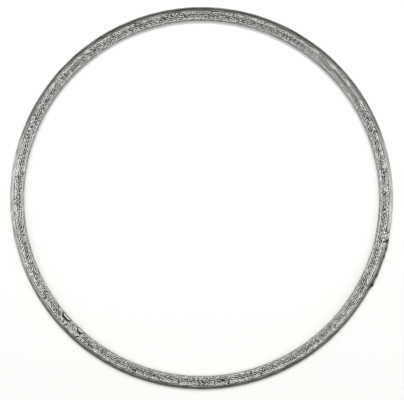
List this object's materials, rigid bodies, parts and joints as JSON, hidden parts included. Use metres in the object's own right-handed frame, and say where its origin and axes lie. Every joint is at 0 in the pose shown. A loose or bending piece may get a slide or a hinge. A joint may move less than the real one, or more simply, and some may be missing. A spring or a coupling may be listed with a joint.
{
  "type": "exhaust gasket",
  "caption": "Flat ring gasket of pressed knitted steel wire for an exhaust joint, gripped at its rim by a rolled steel strip with lapped ends.",
  "frame": {"origin": "centre of the face that the ring rests on", "axes": "+Z along the ring's axis, away from the face that it rests on; the strip's free end is at 332.5 degrees from +X"},
  "size_m": [0.21, 0.21, 0.0038],
  "materials": {
    "knit_wire": "knitted and pressed wire",
    "strip_steel": "rolled"
  },
  "bodies": {
    "root": {"knitted_ring": "knit_wire", "rim_strip": "strip_steel"}
  },
  "joints": []
}
